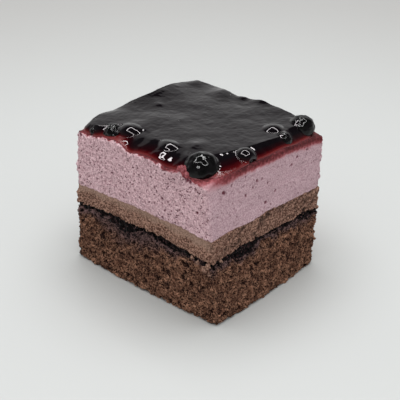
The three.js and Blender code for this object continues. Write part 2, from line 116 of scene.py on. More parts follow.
LEVEL_SWELLS = [
    (-29, 9, 1.3, 9), (25, 21, 0.5, 6), (-12, -18, 0.4, 4.5), (-30, -13, -1.0, 4), (-30, 4, 0.5, 6),
    (-30, 20, -0.7, 4), (-6, 27, -0.7, 6), (5, 26, 0.9, 2.5), (16, 26, 0.5, 6),
]
INSET_SWELLS = [(-30, -20, -0.4, 5), (30, -27, 2.2, 4), (30, 27, 2.2, 4), (-30, 27, 1.2, 4)]
# Where the shoulder ends in a step up to the level, and how wide the step is.
STEP_SWELLS = [(-14, -27, 0.8, 4)]
STEP_WIDTH = 1.5
SUNK_BERRIES = [
    (-18.0, -1.2, 0.22, 1.5), (-2.0, 23.0, 0.6, 2.0), (-29.0, 18, 0.8, 3.0), (13.0, -14.5, 0.5, 3.0),
]

JAM_THICKNESS = 1.3
GLAZE_RIM, RIM_UNEVEN = 0.6, 0.10  # thickness of the glaze at its edge, and how uneven that is
GLAZE_INSET = 0.4
BEAD_WIDTH = 0.9
SHOULDER_WIDTH, SHOULDER_UNEVEN = 2.0, 0.12
ROUGH_SPOT = (6, -21)  # the jelly is rough on top here

# The front berry's place in the drawing, against its box in the frame, says where the drawing lies in it.
FRONT_BERRY = np.array([21.2, -20.8])
MM = 0.001


def box_mm(node):
    """A CAD node's middle and size, in millimetres in the frame."""
    low, high = (np.array(corner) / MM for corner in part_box(node))
    return (low + high) / 2, high - low


SHIFT = box_mm("berry_front_corner")[0][:2] - FRONT_BERRY


def place(x, y, z):
    """Points of the drawing, in millimetres, as points of the frame, in metres."""
    return np.stack([(x + SHIFT[0]) * MM, (y + SHIFT[1]) * MM, z * MM], -1)


# ---- unevenness ----

SCATTER = 0.42  # how far a bubble's point may lie off the middle of its lattice cell, over the cell's size
FAR_OFF = 9.0  # further than any distance or depth that counts


def lattice(ix, iy, iz, seed):
    """A repeatable random value from -1 to 1 for each whole-number lattice point."""
    wide = np.sin(ix * 127.1 + iy * 311.7 + iz * 74.7 + seed * 53.3) * 43758.5453
    return 2 * (wide - np.floor(wide)) - 1


def smooth(value, low=0.0, high=1.0):
    """0 below low, 1 above high, and the smooth cubic 3t^2 - 2t^3 between."""
    t = np.clip((value - low) / (high - low), 0, 1)
    return t * t * (3 - 2 * t)


def uneven(x, y, z, size, seed):
    """Smooth unevenness from -1 to 1: random lattice values, `size` apart, blended cubically."""
    at = [np.asarray(axis, float) / size for axis in np.broadcast_arrays(x, y, z)]
    cell = [np.floor(axis) for axis in at]
    blend = [smooth(a - c) for a, c in zip(at, cell)]
    total = np.zeros(at[0].shape)
    for step in itertools.product((0, 1), repeat=3):
        weight = 1.0
        for s, b in zip(step, blend):
            weight = weight * (b if s else 1 - b)
        total += weight * lattice(*(c + s for c, s in zip(cell, step)), seed)
    return total


def layered(x, y, z, size, seed, octaves=3):
    """Unevenness with finer and weaker copies of itself, each half the size and 0.55 of the height."""
    return sum(0.55**k * uneven(x, y, z, size / 2**k, seed + 17 * k) for k in range(octaves))


def bubbles(x, y, z, size, seed):
    """Cells about `size` across round random points, one to a lattice cell: the distance to the nearest
    point, over the size, and a random value from 0 to 1 for that point."""
    at = [np.asarray(axis, float) / size for axis in (x, y, z)]
    base = [np.floor(axis) for axis in at]
    nearest, mark = np.full(at[0].shape, FAR_OFF), np.zeros(at[0].shape)
    for step in itertools.product((-1, 0, 1), repeat=3):
        cell = [b + s for b, s in zip(base, step)]
        gaps = [c + 0.5 + SCATTER * lattice(*cell, seed + k) - a for k, (c, a) in enumerate(zip(cell, at))]
        distance = np.sqrt(sum(gap * gap for gap in gaps))
        mark = np.where(distance < nearest, 0.5 + 0.5 * lattice(*cell, seed + 3), mark)
        nearest = np.minimum(nearest, distance)
    return nearest, mark


# ---- the surfaces between the layers ----


def near(spot, x, y, reach):
    """1 at a spot, fading as exp(-distance^2 / reach^2)."""
    return np.exp(-((x - spot[0]) ** 2 + (y - spot[1]) ** 2) / reach**2)


def swells(which, x, y):
    """The sum of round swells, each its rise times near() its middle."""
    return sum(rise * near((sx, sy), x, y, reach) for sx, sy, rise, reach in which)


def beside(which, x, y):
    """Swells as they are at the sides: those at the nearest point of each side, each weighted by
    exp(-distance / blend)."""
    blend = 1.2
    spots = [(x, -HALF[1]), (HALF[0], y), (x, HALF[1]), (-HALF[0], y)]
    weights = [np.exp(-(np.abs(x - side_x) + np.abs(y - side_y)) / blend) for side_x, side_y in spots]
    return sum(weight * swells(which, *spot) for weight, spot in zip(weights, spots)) / sum(weights)


def surface(which, x, y):
    """A layer's surface: level and slope, less droop * |xy / corner|^3, plus unevenness."""
    height, slope_x, slope_y, droop, rise, seed = which
    cornerness = np.abs(x * y / (HALF[0] * HALF[1])) ** 3
    return height + slope_x * x + slope_y * y - droop * cornerness + rise * uneven(x, y, 0, UNEVEN_SIZE, seed)


def jam_roof(x, y):
    """Where the jam ends and the chocolate cream begins."""
    return surface(JAM_ROOF, x, y)


def jam_floor(x, y):
    """Where the sponge ends: the jam's depth swells into lenses at the cut sides."""
    return jam_roof(x, y) - JAM_THICKNESS - swells(JAM_LENSES, x, y) - 0.3 * uneven(x, y, 0, 5, 2)


def cream_roof(x, y):
    """Where the chocolate cream ends and the mousse begins."""
    return surface(CREAM_ROOF, x, y)


def mousse_roof(x, y):
    """Where the mousse ends and the glaze begins: its edges swell and sink, ever less over EDGE_REACH."""
    inwards = np.minimum(HALF[0] - np.abs(x), HALF[1] - np.abs(y))
    return surface(MOUSSE_ROOF, x, y) + beside(MOUSSE_EDGE, x, y) * (1 - smooth(inwards, 0, EDGE_REACH))


# ---- the cut sides ----


def corner_points(rise):
    """The outline's four corners at a share of the brow height: shape (..., 4, 2)."""
    rise = np.asarray(rise, float)[..., None, None]
    return EDGE_SIDE * HALF + EDGE_FOOT * (1 - rise) + EDGE_BROW * rise


def outline(turn, z, scale):
    """A point of the slice's outline. `turn` runs from 0 to 4 round its sides, from corner to corner in a
    straight line, rounded by a pull of exp(-(distance / round)^2) towards the middle at each corner."""
    side = np.floor(turn).astype(int) % 4
    along = turn - np.floor(turn)
    corners = corner_points(z / BROW)
    pick = np.broadcast_to(side, z.shape)[..., None, None]
    start = np.take_along_axis(corners, np.broadcast_to(pick, (*z.shape, 1, 2)), axis=-2)[..., 0, :]
    end = np.take_along_axis(corners, np.broadcast_to((pick + 1) % 4, (*z.shape, 1, 2)), axis=-2)[..., 0, :]
    length = 2 * HALF[side % 2]
    from_corner = np.minimum(along, 1 - along) * length
    pull = CORNER_ROUND * (1 - math.sqrt(0.5)) * np.exp(-((from_corner / CORNER_ROUND) ** 2))
    point = start + (end - start) * np.broadcast_to(along, z.shape)[..., None]
    return point * (scale[..., None] - np.broadcast_to(pull, z.shape)[..., None] / HALF)


def side_normals(x, y):
    """The outward normal of closed rows of points that run anticlockwise, in the XY plane."""
    tangent_x = np.roll(x, -1, -1) - np.roll(x, 1, -1)
    tangent_y = np.roll(y, -1, -1) - np.roll(y, 1, -1)
    length = np.hypot(tangent_x, tangent_y) + 1e-9
    return tangent_y / length, -tangent_x / length


def side_weight(turn, side):
    """1 along one side of the outline, and 0 along the others, with a short blend at its corners."""
    blend = 0.03
    from_middle = np.abs((turn - side - 0.5 + 2) % 4 - 2)
    return 1 - smooth(from_middle, 0.5 - blend, 0.5 + blend)


# ---- meshes ----


def make_mesh(name, points, faces, fields, material):
    """A smooth-shaded object from points in metres, blocks of faces with the same number of corners, and
    named numbers for each point."""
    mesh = bpy.data.meshes.new(name)
    mesh.vertices.add(len(points))
    mesh.vertices.foreach_set("co", np.ascontiguousarray(points, np.float32).ravel())
    corners = np.concatenate([block.ravel() for block in faces])
    totals = np.concatenate([np.full(len(block), block.shape[1]) for block in faces])
    starts = np.concatenate([[0], np.cumsum(totals)[:-1]])
    mesh.loops.add(len(corners))
    mesh.loops.foreach_set("vertex_index", corners.astype(np.int32))
    mesh.polygons.add(len(totals))
    mesh.polygons.foreach_set("loop_start", starts.astype(np.int32))
    mesh.polygons.foreach_set("loop_total", totals.astype(np.int32))
    mesh.polygons.foreach_set("use_smooth", np.ones(len(totals), bool))
    for field, values in fields.items():
        mesh.attributes.new(field, "FLOAT", "POINT").data.foreach_set("value", values.astype(np.float32))
    mesh.update()
    mesh.validate()
    mesh.materials.append(material)
    piece = bpy.data.objects.new(name, mesh)
    bpy.context.scene.collection.objects.link(piece)
    return piece


def ring_faces(first, rows, columns):
    """Quads between closed rows of points, the first point being number `first`."""
    row = np.arange(rows - 1)[:, None] * columns
    column = np.arange(columns)[None, :]
    here, after = first + row + column, first + row + (column + 1) % columns
    return np.stack([here, after, after + columns, here + columns], -1).reshape(-1, 4)


def shell(name, points, fields, material):
    """Closed meshes, each from rows of points that close on themselves: points has the shape
    (rows, columns, 3), or (meshes, rows, columns, 3). The first and last rows shrink to poles."""
    stack = points if points.ndim == 4 else points[None]
    meshes, rows, columns = stack.shape[:3]

    def with_poles(values):
        body = values[:, 1:-1].reshape(meshes, -1, *values.shape[3:])
        ends = [values[:, row].mean(1, keepdims=True) for row in (0, -1)]
        return np.concatenate([ends[0], body, ends[1]], 1).reshape(-1, *values.shape[3:])

    last = (rows - 2) * columns + 1
    here = np.arange(columns)
    after = (here + 1) % columns
    under = np.stack([0 * here, 1 + after, 1 + here], -1)
    over = np.stack([last - columns + here, last - columns + after, 0 * here + last], -1)
    offsets = (np.arange(meshes) * (last + 1))[:, None, None]
    blocks = [ring_faces(1, rows - 2, columns), under, over]
    faces = [(offsets + block).reshape(-1, block.shape[1]) for block in blocks]
    grids = {key: with_poles(values.reshape(stack.shape[:3])) for key, values in fields.items()}
    return make_mesh(name, with_poles(stack), faces, grids, material)


# ---- shader maths ----


class Socket:
    """A shader socket that takes part in arithmetic: each operator adds its Math node."""

    def __init__(self, tree, socket):
        self.tree = tree
        self.socket = socket

    def math(self, operation, *others, clamp=False):
        """A Math node of one operation on this socket and others."""
        settings = dict(operation=operation, use_clamp=clamp)
        return add_node(self.tree, "ShaderNodeMath", settings, [self, *others])

    def __add__(self, other):
        return self.math("ADD", other)

    def __sub__(self, other):
        return self.math("SUBTRACT", other)

    def __mul__(self, other):
        return self.math("MULTIPLY", other)

    def __truediv__(self, other):
        return self.math("DIVIDE", other)

    def __rsub__(self, other):
        return add_node(self.tree, "ShaderNodeMath", dict(operation="SUBTRACT"), [other, self])

    __radd__ = __add__
    __rmul__ = __mul__

    def clamped(self):
        """This value held between 0 and 1."""
        return self.math("ADD", 0.0, clamp=True)

    def between(self, low, high):
        """0 where this value is at low, 1 where it is at high, smoothly between."""
        settings = dict(interpolation_type="SMOOTHSTEP")
        inputs = {"Value": self, "From Min": low, "From Max": high}
        return add_node(self.tree, "ShaderNodeMapRange", settings, inputs)


def add_node(tree, kind, settings, inputs, output=0):
    """One node: its type, its settings, the values or sockets of its inputs, and the output that is used."""
    node = tree.nodes.new(kind)
    for key, value in settings.items():
        if key == "stops":
            while len(node.color_ramp.elements) < len(value):
                node.color_ramp.elements.new(0.5)
            for element, (position, colour) in zip(node.color_ramp.elements, value):
                element.position = position
                element.color = (*colour, 1)
        else:
            setattr(node, key, value)
    for key, value in inputs.items() if isinstance(inputs, dict) else enumerate(inputs):
        if isinstance(value, Socket):
            tree.links.new(value.socket, node.inputs[key])
        else:
            node.inputs[key].default_value = value
    return Socket(tree, node.outputs[output])


class Finish:
    """One material: what every finish here needs from its node tree."""

    def __init__(self, name, **constants):
        self.material = bpy.data.materials.new(name)
        self.material.use_nodes = True
        self.tree = self.material.node_tree
        self.surface = self.tree.nodes["Principled BSDF"]
        for socket, value in constants.items():
            self.surface.inputs[socket.replace("_", " ")].default_value = value

    def node(self, kind, settings, inputs, output=0):
        """One node of this material."""
        return add_node(self.tree, kind, settings, inputs, output)

    def field(self, name):
        """The numbers that a piece's points carry under this name."""
        return self.node("ShaderNodeAttribute", dict(attribute_name=name), [], "Fac")

    def place(self):
        """Object coordinates in millimetres."""
        at = self.node("ShaderNodeTexCoord", {}, [], "Object")
        return self.node("ShaderNodeMapping", {}, {"Vector": at, "Scale": [1 / MM] * 3})

    def noise(self, size, detail):
        """Noise from 0 to 1 whose lumps are `size` millimetres across."""
        inputs = {"Vector": self.place(), "Scale": 1 / size, "Detail": detail}
        return self.node("ShaderNodeTexNoise", {}, inputs, "Fac")

    def cells(self, size):
        """Distance to the nearest of random points `size` millimetres apart, over the size."""
        inputs = {"Vector": self.place(), "Scale": 1 / size}
        return self.node("ShaderNodeTexVoronoi", dict(feature="F1"), inputs, "Distance")

    def mix(self, factor, low, high):
        """One colour, or value, blended into another."""
        settings = dict(data_type="RGBA", clamp_factor=True)
        colours = [value if isinstance(value, Socket) else (*value, 1) for value in (low, high)]
        return self.node("ShaderNodeMix", settings, {0: factor, 6: colours[0], 7: colours[1]}, 2)

    def ramp(self, factor, stops):
        """A colour ramp over a value, from (position, colour) stops."""
        return self.node("ShaderNodeValToRGB", dict(stops=stops), {"Fac": factor})

    def bump(self, height, depth):
        """A bump of `depth` millimetres."""
        inputs = {"Height": height, "Distance": depth * MM, "Strength": 1.0}
        return self.node("ShaderNodeBump", {}, inputs, "Normal")

    def set(self, **sockets):
        """Links sockets of the surface: Base_Color=..., Roughness=..., Normal=..."""
        for name, value in sockets.items():
            self.tree.links.new(value.socket, self.surface.inputs[name.replace("_", " ")])
        return self.material


# ---- finishes ----


def sponge_finish():
    """Dark chocolate crumb: pale on the thin walls between its bubbles, near black with painted shade in them
    and in the hollows of its bump, and purple-black where the jam has soaked in."""
    finish = Finish("sponge_crumb", Roughness=0.9, Specular_IOR_Level=0.2)
    pit, soak = finish.field("pit"), finish.field("soak")
    fleck = finish.noise(0.48, 2).between(0.36, 0.62)
    # Painted shade: near black in the pits and between the walls, and where the bump's noise is low.
    cavity_shade = (pit * 0.95 + (0.5 - fleck) * 0.85 + 0.14).clamped()
    patch = finish.noise(2.6, 4).between(0.38, 0.66)
    wall = finish.mix(patch, (0.255, 0.118, 0.072), (0.510, 0.262, 0.164))
    bare = finish.mix(cavity_shade, wall, (0.024, 0.007, 0.004))
    soaked = finish.mix(cavity_shade, (0.200, 0.120, 0.122), (0.006, 0.003, 0.004))
    relief = finish.bump(fleck + finish.noise(0.22, 2), 0.22)
    return finish.set(Base_Color=finish.mix(soak, bare, soaked), Normal=relief)


def jam_finish():
    """Sticky near-black purple jam, wet in places, with pinkish crumbs in it."""
    finish = Finish("jam_dark", Specular_IOR_Level=0.07)
    wet = finish.noise(0.9, 3)
    plain = finish.mix(wet.between(0.48, 0.72), (0.0010, 0.0006, 0.0007), (0.020, 0.008, 0.010))
    colour = finish.mix(finish.noise(0.6, 2).between(0.61, 0.70), plain, (0.120, 0.060, 0.062))
    rough = wet * 0.7 + 0.02
    return finish.set(Base_Color=colour, Roughness=rough, Normal=finish.bump(finish.noise(0.45, 3), 0.25))


def cream_finish():
    """Dense light brown chocolate cream: finer where smooth, darker in its grain, with painted shade in its
    pits and cracks and a little over its smeared sides.
    """
    finish = Finish("chocolate_cream", Roughness=0.75, Specular_IOR_Level=0.25)
    pit, coarse, pale = finish.field("pit"), finish.field("coarse"), finish.field("pale")
    fine = finish.noise(0.55, 2).between(0.38, 0.60)
    smooth_tone = finish.mix(fine, (0.258, 0.158, 0.115), (0.330, 0.215, 0.163))
    coarse_tone = finish.mix(fine, (0.110, 0.042, 0.027), (0.425, 0.242, 0.174))
    tone = finish.mix(coarse, smooth_tone, coarse_tone)
    # Painted shade: the smeared sides are 8% darker than the torn ones.
    shaded = finish.mix(pale, finish.mix(0.08, tone, (0.05, 0.025, 0.02)), tone)
    # Painted shade in the pits and cracks.
    colour = finish.mix(pit, shaded, (0.040, 0.018, 0.012))
    return finish.set(Base_Color=colour, Normal=finish.bump(fine * coarse, 0.20))


def mousse_finish():
    """Aerated dusty-pink mousse: grainy and pale where torn, with painted shade in its pores and in the
    hollows of its grain, and red under the jelly.
    """
    finish = Finish("mousse_pink", Roughness=0.7, Specular_IOR_Level=0.25)
    pit, stain, torn = finish.field("pit"), finish.field("stain"), finish.field("torn")
    fine = finish.noise(0.45, 2).between(0.36, 0.62)
    grainy = finish.mix(fine, (0.560, 0.345, 0.382), (0.800, 0.560, 0.598))
    dragged = finish.mix(fine, (0.430, 0.268, 0.304), (0.590, 0.410, 0.452))
    plain = finish.mix(torn, dragged, grainy)
    cluster = finish.noise(4.0, 2).between(0.35, 0.65) * 0.05
    holes = (finish.noise(0.7, 4) + cluster).between(0.635, 0.70) * (torn * 0.75 + 0.35)
    # Painted shade: dark red in the pores and the hollows of the grain.
    with_pore_shade = finish.mix((pit + holes).clamped(), plain, (0.150, 0.030, 0.050))
    stops = [(0.0, (0.56, 0.34, 0.37)), (0.22, (0.47, 0.185, 0.21)), (0.45, (0.29, 0.062, 0.074)),
             (0.70, (0.155, 0.020, 0.025)), (1.0, (0.070, 0.006, 0.009))]
    blotch = (stain + (finish.noise(0.9, 3) - 0.5) * 1.5 * stain).clamped()
    colour = finish.mix(stain.between(0.0, 0.45), with_pore_shade, finish.ramp(blotch, stops))
    height = fine * torn * 0.5 + finish.noise(0.3, 2) * 0.5 - holes * 2.0
    return finish.set(Base_Color=colour, Normal=finish.bump(height, 0.20))


def glaze_finish():
    """Wet jelly: pinkish and duller where it is a film, clear deep red where thin, near black where thick."""
    finish = Finish("jelly_glaze", IOR=1.42, Specular_Tint=(1.0, 0.92, 0.95, 1))
    depth = finish.field("depth") / 3.0
    stops = [(0.0, (0.200, 0.045, 0.052)), (0.11, (0.155, 0.012, 0.012)), (0.26, (0.055, 0.002, 0.003)),
             (0.42, (0.012, 0.001, 0.002)), (0.70, (0.004, 0.003, 0.004))]
    bubble = 1 - finish.cells(4.5).between(0.0, 0.065)
    height = finish.noise(1.6, 2) * 0.1 + bubble
    rough = 0.36 - depth.between(0.10, 0.32) * 0.32
    return finish.set(Base_Color=finish.ramp(depth, stops), Roughness=rough, Normal=finish.bump(height, 0.12))


def berry_finish():
    """A blueberry's black skin under a coat of jelly."""
    finish = Finish("berry_skin", Roughness=0.09, IOR=1.42, Specular_IOR_Level=0.34)
    bloom = finish.noise(1.2, 3).between(0.45, 0.8)
    colour = finish.mix(bloom, (0.003, 0.003, 0.003), (0.008, 0.006, 0.008))
    return finish.set(Base_Color=colour, Normal=finish.bump(finish.noise(0.5, 2), 0.02))


# ---- the layers ----

COLUMNS = 900  # round the outline
SPONGE_ROWS, JAM_ROWS, CREAM_ROWS, MOUSSE_ROWS = 88, 14, 34, 76  # up the cut sides
# Where the rows of a top or an underside lie, from its middle out, as shares of the way to its edge.
HIDDEN = [0.0, 0.4, 0.8, 0.97]
MOUSSE_TOP = [0.0, 0.4, 0.75, 0.82, 0.86, 0.89, 0.91, 0.925, 0.94, 0.95, 0.96, 0.97, 0.98, 0.99]
GRAINY = (0, 2)  # the sides that the knife has torn
SMEARED = (1, 3)  # the sides that it has dragged smooth

HOLE_EDGE = (-0.15, 0.2)  # where a named hole's edge begins and ends, from its radius
LEAN_SHARE = 0.25
CRAG_REACH = 2.4
WALL_WIDTH = 0.26


def layer(name, rows, nominal, surfaces, relief, fields, finish):
    """A closed layer: rows of points that run from the middle of its underside outwards, up its cut side and
    in over its top. Each row is the outline at a nominal height, its true height is blended from floor to
    roof, and it is moved out along its normal by relief(x, y, z, turn), which fades inwards over the top and
    also fills the fields."""
    (wall_rows, top_rows), (low, high), (floor, roof) = rows, nominal, surfaces
    turn = np.linspace(0, 4, COLUMNS, endpoint=False)[None, :]
    scale = np.concatenate([HIDDEN, np.ones(wall_rows), top_rows[::-1]])[:, None]
    wall = np.linspace(0, 1, wall_rows)
    share = np.concatenate([np.zeros(len(HIDDEN)), wall, np.ones(len(top_rows))])[:, None]
    z_nominal = low + (high - low) * share + 0 * turn
    x, y = np.moveaxis(outline(turn, z_nominal, scale + 0 * turn), -1, 0)
    z = floor(x, y) * (1 - share) + roof(x, y) * share
    normal_x, normal_y = side_normals(x, y)
    proud = relief(x, y, z, turn + 0 * x) * smooth(scale, 0.9, 1.0)
    return shell(name, place(x + normal_x * proud, y + normal_y * proud, z), fields, finish)


def sides(turn, which):
    """1 on the named sides of the outline and 0 on the others."""
    return sum(side_weight(turn, side) for side in which)


def opened(which, x, y, z):
    """Named holes in the cut sides: 1 within each one's radius of its middle, fading to 0 over HOLE_EDGE.
    How far a point lies off the upright side counts by LEAN_SHARE only, because the sides lean."""
    total = 0 * x
    for hole_x, hole_y, hole_z, radius in which:
        from_x = (x - hole_x) * (LEAN_SHARE if abs(hole_x) >= HALF[0] else 1)
        from_y = (y - hole_y) * (LEAN_SHARE if abs(hole_y) >= HALF[1] else 1)
        distance = np.sqrt(from_x**2 + from_y**2 + (z - hole_z) ** 2)
        total = np.maximum(total, 1 - smooth(distance, radius + HOLE_EDGE[0], radius + HOLE_EDGE[1]))
    return total


def crags(x, y, z, size, seed):
    """Unevenness at the two upright edges that the view sees side on, fading over CRAG_REACH."""
    edges = sum(near(end * HALF, x, y, CRAG_REACH) for end in (-1, 1))
    return edges * layered(x, y, z, size, seed, 3)


def crinkled(x, y, z, size, seed, octaves=3):
    """Thin crooked walls: 1 along the surfaces where unevenness changes sign, and 0 where it is past
    WALL_WIDTH."""
    return 1 - smooth(np.abs(layered(x, y, z, size, seed, octaves)), 0.0, WALL_WIDTH)


COARSE_WALLS, FINE_WALLS = 1.7, 1.0  # how far apart the crumb's crooked walls stand
ROUND_HOLES = 2.6  # how far apart its round holes lie
ROUND_SHARE, ROUND_RADIUS = 0.45, 0.32  # how many of them are open, and how wide, over that distance
WALL_PROUD, HOLE_DEPTH = 0.60, 0.9
SOAK_EVERYWHERE, SOAK_MORE, SOAK_UNEVEN = 2.6, 4.6, 2.2  # how far down the jam has soaked
SOAK_MIDDLE, SOAK_SPREAD = (-6, -27), (20, 8)  # where it has soaked further
FOOT_TUCK, FOOT_ROUND = 0.5, 0.8  # how far the foot's edge is drawn in, and up to what height


def soak_reach(x, y, z):
    """How far down the jam has soaked: more round one place, as exp(-distance^2) over its spread, and
    uneven."""
    (middle_x, middle_y), (spread_x, spread_y) = SOAK_MIDDLE, SOAK_SPREAD
    more = np.exp(-(((x - middle_x) / spread_x) ** 2) - ((y - middle_y) / spread_y) ** 2)
    return SOAK_EVERYWHERE + SOAK_MORE * more + SOAK_UNEVEN * layered(x, y, z, 3.4, 35, 3)


def make_sponge():
    """Sponge: crooked walls round open bubbles, larger holes, fuzz, and the slice's own bulge at its foot."""
    fields = {}
    height = JAM_ROOF[0] - JAM_THICKNESS

    def floor(x, y):
        return 0 * x

    def roof(x, y):
        return jam_floor(x, y) - swells(JAM_LUMPS, x, y) + 0.5 * layered(x, y, 0, 1.9, 21, 3)

    def relief(x, y, z, turn):
        wall = np.maximum(crinkled(x, y, z, COARSE_WALLS, 22), 0.8 * crinkled(x, y, z, FINE_WALLS, 25, 2))
        distance, mark = bubbles(x, y, z, ROUND_HOLES, 29)
        hole = np.where(mark < ROUND_SHARE, smooth(ROUND_RADIUS - distance, 0.0, 0.14), 0)
        hole = np.maximum(hole, opened(SPONGE_HOLES, x, y, z))
        fuzz = layered(x, y, z, 0.8, 31, 2)
        # Painted shade in the holes and between the walls, for the finish.
        fields["pit"] = np.clip((1 - wall) * (0.75 - 0.35 * fuzz) + 1.1 * hole, 0, 1.3)
        reach = soak_reach(x, y, z)
        fields["soak"] = 0.9 * (1 - smooth(jam_floor(x, y) - z, 0.2 * reach, 1.25 * reach + 0.3))
        broad = 0.5 * uneven(x, y, z, 2.3, 6) + 0.2 * uneven(x, y, z, 7, 7)
        bulge = SPONGE_BULGE * np.sin(np.pi * (turn % 1)) * (1 - z / height)
        tuck = FOOT_TUCK * (1 - layered(x, y, 0, 1.5, 36, 2)) * (1 - smooth(z, 0.0, FOOT_ROUND))
        rough = 0.7 * broad + 0.22 * fuzz + 0.9 * crags(x, y, z, 1.9, 37)
        return rough + bulge - tuck - WALL_PROUD * (1 - wall) - HOLE_DEPTH * hole + 0.15

    rows, nominal = (SPONGE_ROWS, HIDDEN), (0, height)
    return layer("sponge_crumb", rows, nominal, (floor, roof), relief, fields, sponge_finish())


JAM_INTO_SPONGE, JAM_INTO_CREAM = 0.9, 0.3  # how far it runs into its neighbours, so that no gap shows
JAM_BEHIND, JAM_LUMPINESS = 0.45, 0.75
FULL_LENS = 1.8  # the swell at which a lens is full


def make_jam():
    """Jam: lumpy, a little behind the crumb, and full in its lenses."""

    def floor(x, y):
        return jam_floor(x, y) - JAM_INTO_SPONGE - swells(JAM_LUMPS, x, y)

    def roof(x, y):
        return jam_roof(x, y) + JAM_INTO_CREAM

    def relief(x, y, z, turn):
        full = np.clip(swells(JAM_LENSES, x, y) / FULL_LENS, 0, 1)
        lumps = layered(x, y, z, 1.2, 41, 3)
        return JAM_LUMPINESS * lumps - JAM_BEHIND + 0.3 * full + 0.7 * crags(x, y, z, 1.6, 43)

    rows, nominal = (JAM_ROWS, HIDDEN), (JAM_ROOF[0] - JAM_THICKNESS, JAM_ROOF[0])
    return layer("jam_seam_dark", rows, nominal, (floor, roof), relief, {}, jam_finish())


COARSE_HEIGHT = 7.0  # the height of cream, above the jam, over which it turns from coarse to smooth
CREAM_PITS = 0.85  # how far apart its pits lie
CREAM_PIT_SHARE, CREAM_PIT_RADIUS = 0.5, 0.40  # how many of them are open, and how wide, over that distance
PIT_DEPTH, CRACK_DEPTH = 0.3, 0.5
CRACK_WIDTH = (0.03, 0.26)


def mousse_foot(x, y):
    """Where the chocolate cream meets the mousse, with its fine waver."""
    return cream_roof(x, y) + 0.14 * layered(x, y, 0, 1.3, 52, 2)


def make_cream():
    """Chocolate cream: on the torn sides smooth below the mousse, coarse and pitted above the jam, and
    cracked on the smeared sides, most near one corner."""
    fields = {}

    def floor(x, y):
        return jam_roof(x, y) + 0.38 * layered(x, y, 0, 1.5, 51, 3)

    def relief(x, y, z, turn):
        torn, dragged = sides(turn, GRAINY), sides(turn, SMEARED)
        rise = (z - jam_roof(x, y)) / COARSE_HEIGHT + 0.18 * uneven(x, y, z, 3, 58)
        coarse = np.clip(1 - 0.8 * smooth(rise, 0.5, 0.82) * torn, 0, 1)
        distance, mark = bubbles(x, y, z, CREAM_PITS, 53)
        # The pits are carved, and the same mask paints their shade.
        pit = smooth(CREAM_PIT_RADIUS - distance, 0, 0.2) * (mark < CREAM_PIT_SHARE) * coarse
        fuzz = layered(x, y, z, 0.7, 57, 3)
        tilt = z * 0.8 - y * 0.55
        crack_line = np.abs(uneven(x, (y + z) * 0.28, tilt, 1.5, 59) + 0.4 * uneven(x, y, z, 1.0, 60))
        cracked = dragged * (0.25 + 0.75 * smooth(uneven(x, y, z, 5, 62), -0.1, 0.5) + smooth(y, 6, 16))
        crack = (1 - smooth(crack_line, *CRACK_WIDTH)) * np.clip(cracked, 0, 1)
        # Painted shade in the pits and cracks, for the finish.
        fields["pit"] = np.clip(0.55 * pit + 0.9 * crack - 0.2 * fuzz * coarse, 0, 1)
        fields["coarse"] = coarse
        # 1 on the torn sides, which stay unshaded; the smeared ones get painted shade.
        fields["pale"] = torn
        rough = 0.22 * uneven(x, y, z, 4, 9) + 0.2 * fuzz * coarse + 0.7 * crags(x, y, z, 1.7, 56)
        return rough - PIT_DEPTH * pit - CRACK_DEPTH * crack + 0.1

    rows, nominal = (CREAM_ROWS, HIDDEN), (JAM_ROOF[0], CREAM_ROOF[0])
    return layer("chocolate_cream_cut", rows, nominal, (floor, mousse_foot), relief, fields, cream_finish())


MOUSSE_OVERLAP = 0.05  # how far it runs down into the cream, so that no gap shows
PORES = 1.1  # how far apart its pores lie
TORN_PORES, DRAGGED_PORES = 0.42, 0.14  # how many of them are open
PORE_DEPTH = 0.42
DRAG_LENGTH = 7  # how many times longer than high the drag lines are
STAIN_EVERYWHERE, STAIN_UNEVEN = 0.6, 0.8  # how far down the jelly has stained the mousse
STAIN_RIGHT, STAIN_FAR_LEFT, STAIN_FRONT = 3.2, 1.0, 0.9  # and how much further on two sides and at a corner
CLEAN_MIDDLE = (20, -20.3)  # the stain is weaker at the front corner, away from here


def stain_reach(x, y, z, turn):
    """How far down the jelly has stained the mousse."""
    reach = STAIN_EVERYWHERE + STAIN_RIGHT * side_weight(turn, 1) + STAIN_FAR_LEFT * side_weight(turn, 3)
    reach = reach + STAIN_UNEVEN * layered(x, y, z, 1.8, 73, 3)
    return reach + STAIN_FRONT * near((29, -27), x, y, 5.0)


